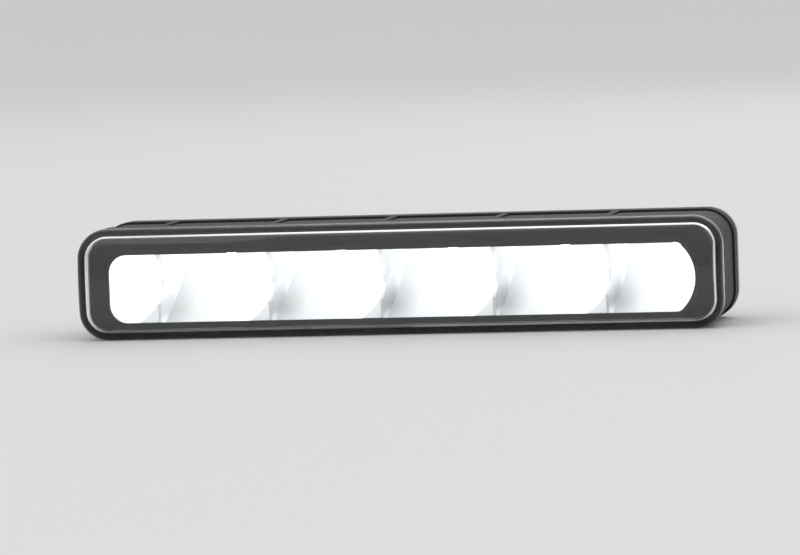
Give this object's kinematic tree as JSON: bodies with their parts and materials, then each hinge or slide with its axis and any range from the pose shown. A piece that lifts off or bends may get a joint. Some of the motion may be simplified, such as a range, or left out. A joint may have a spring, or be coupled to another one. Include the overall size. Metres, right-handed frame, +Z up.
{
  "type": "daytime running light",
  "caption": "Slim bar-shaped daytime running light with a crowned clear lens, stepped parabolic reflector cups, a finned cast back and slotted mounting feet.",
  "frame": {"origin": "under the middle of the whole part, on the plane of the housing's underside and the bracket feet", "axes": "+X along the bar to its outboard end, -Y the way the lens faces, +Z up"},
  "size_m": [0.1778, 0.076, 0.0306],
  "materials": {
    "housing_plastic": "black glass-filled moulding, fine spark-eroded grain",
    "lens_clear": "clear hard-coated polycarbonate",
    "seal_rubber": "matt black silicone and EPDM",
    "bezel_plastic": "satin black moulding",
    "reflector_bright": "vacuum-aluminised moulding",
    "board_white": "white solder mask on an aluminium core",
    "pad_grey": "filled silicone sheet",
    "led_white": "white ceramic and clear silicone, lit",
    "component_black": "moulded epoxy",
    "capacitor_can": "plain can",
    "terminal_plastic": "natural nylon",
    "heat_sink_cast": "shot-blasted die casting",
    "vent_plastic": "black moulding",
    "bracket_steel": "black coated sheet steel",
    "screw_steel": "zinc-plated steel"
  },
  "bodies": {
    "root": {"housing": "housing_plastic", "lens": "lens_clear", "lens_seal": "seal_rubber", "bezel": "bezel_plastic", "reflector": "reflector_bright", "led_board": "board_white", "thermal_pad": "pad_grey", "led_1": "led_white", "led_2": "led_white", "led_3": "led_white", "led_4": "led_white", "led_5": "led_white", "driver_chip": "component_black", "power_inductor": "component_black", "input_capacitor": "capacitor_can", "polarity_diode": "component_black", "wire_terminal": "terminal_plastic", "heat_sink": "heat_sink_cast", "rear_seal": "seal_rubber", "cable_gland": "seal_rubber", "vent_cap": "vent_plastic", "bracket_inboard": "bracket_steel", "bracket_outboard": "bracket_steel", "rear_screws": "screw_steel", "board_screws": "screw_steel", "bracket_washers": "screw_steel", "bracket_screws": "screw_steel"}
  },
  "joints": []
}
